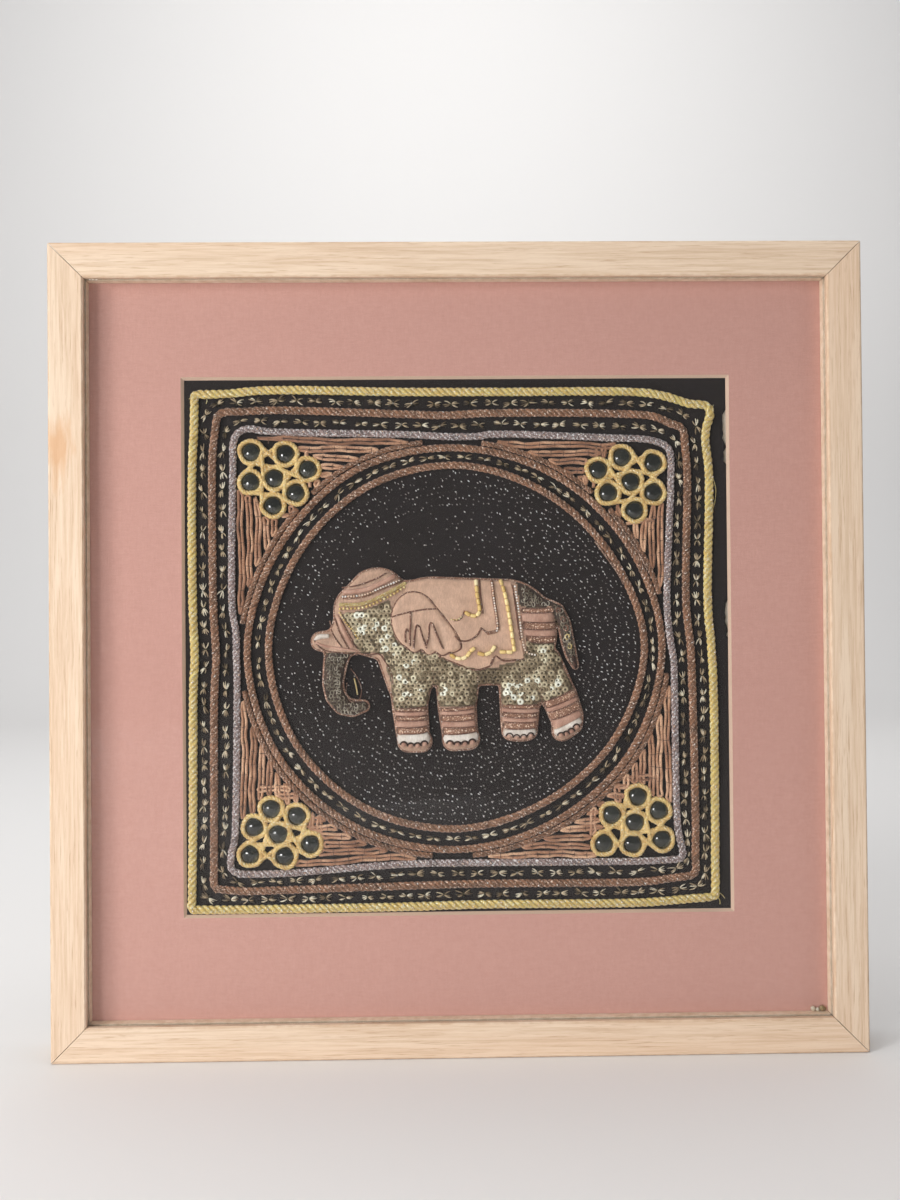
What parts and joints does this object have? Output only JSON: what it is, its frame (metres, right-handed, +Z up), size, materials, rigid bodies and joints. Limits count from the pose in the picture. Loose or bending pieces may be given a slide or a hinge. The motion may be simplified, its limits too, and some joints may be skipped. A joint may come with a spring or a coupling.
{
  "type": "framed applique tapestry",
  "caption": "Square embroidered panel with a padded, sequinned elephant in a corded medallion, set in a window mount behind glass in a deep limed-wood box frame, standing upright.",
  "frame": {"origin": "middle of the underside of the bottom rail, on the surface that the frame stands on", "axes": "+X to the right as the picture is seen, +Y from the picture's face toward its back, +Z up"},
  "size_m": [0.45, 0.03, 0.45],
  "materials": {
    "limed_oak": "pale limed oak, open grain, matt",
    "slip_wood": "plain planed softwood",
    "picture_glass": "clear polished sheet",
    "mount_board": "pink board with a linen texture and a cream bevelled edge",
    "black_cloth": "black cotton with a fine twill line and silver flecks",
    "backing_board": "brown hardboard",
    "gold_cord": "two-strand metallic straw-gold cord, couched",
    "brown_cord": "brown twisted cord with metallic flecks, couched",
    "lilac_cord": "lilac-grey twisted cord with metallic flecks, couched",
    "yarn": "pinkish-tan yarn laid in pairs and couched",
    "ring_cord": "fine gold cord, couched",
    "cabochon_glass": "dark grey-green glass, polished dome",
    "sequinned_cloth": "padded cloth sewn all over with sequins, beads and cord",
    "ear_cloth": "pink satin, padded, with a brown cord edge",
    "saddle_cloth": "pink satin with rows of gold bugle beads"
  },
  "bodies": {
    "root": {"rail_bottom": "limed_oak", "rail_right": "limed_oak", "rail_top": "limed_oak", "rail_left": "limed_oak", "slip_bottom": "slip_wood", "slip_right": "slip_wood", "slip_top": "slip_wood", "slip_left": "slip_wood", "glass_pane": "picture_glass", "mount_board": "mount_board", "ground_cloth": "black_cloth", "backing_board": "backing_board", "cord_gold": "gold_cord", "cord_brown": "brown_cord", "cord_lilac": "lilac_cord", "medallion_cord_outer": "brown_cord", "medallion_cord_inner": "brown_cord", "cabochon_top_left_1": "cabochon_glass", "cabochon_top_left_2": "cabochon_glass", "cabochon_top_left_3": "cabochon_glass", "cabochon_top_left_4": "cabochon_glass", "cabochon_top_left_5": "cabochon_glass", "cabochon_top_left_6": "cabochon_glass", "cabochon_top_left_7": "cabochon_glass", "cabochon_top_right_1": "cabochon_glass", "cabochon_top_right_2": "cabochon_glass", "cabochon_top_right_3": "cabochon_glass", "cabochon_top_right_4": "cabochon_glass", "cabochon_top_right_5": "cabochon_glass", "cabochon_top_right_6": "cabochon_glass", "cabochon_top_right_7": "cabochon_glass", "cabochon_bottom_left_1": "cabochon_glass", "cabochon_bottom_left_2": "cabochon_glass", "cabochon_bottom_left_3": "cabochon_glass", "cabochon_bottom_left_4": "cabochon_glass", "cabochon_bottom_left_5": "cabochon_glass", "cabochon_bottom_left_6": "cabochon_glass", "cabochon_bottom_left_7": "cabochon_glass", "cabochon_bottom_right_1": "cabochon_glass", "cabochon_bottom_right_2": "cabochon_glass", "cabochon_bottom_right_3": "cabochon_glass", "cabochon_bottom_right_4": "cabochon_glass", "cabochon_bottom_right_5": "cabochon_glass", "cabochon_bottom_right_6": "cabochon_glass", "cabochon_bottom_right_7": "cabochon_glass", "ring_cords_top_left": "ring_cord", "ring_cords_top_right": "ring_cord", "ring_cords_bottom_left": "ring_cord", "ring_cords_bottom_right": "ring_cord", "yarn_top_left": "yarn", "yarn_top_right": "yarn", "yarn_right_upper": "yarn", "yarn_right_lower": "yarn", "yarn_bottom_right": "yarn", "yarn_bottom_left": "yarn", "yarn_left_lower": "yarn", "yarn_left_upper": "yarn", "elephant_body": "sequinned_cloth", "elephant_ear": "ear_cloth", "saddle_cloth": "saddle_cloth"}
  },
  "joints": []
}
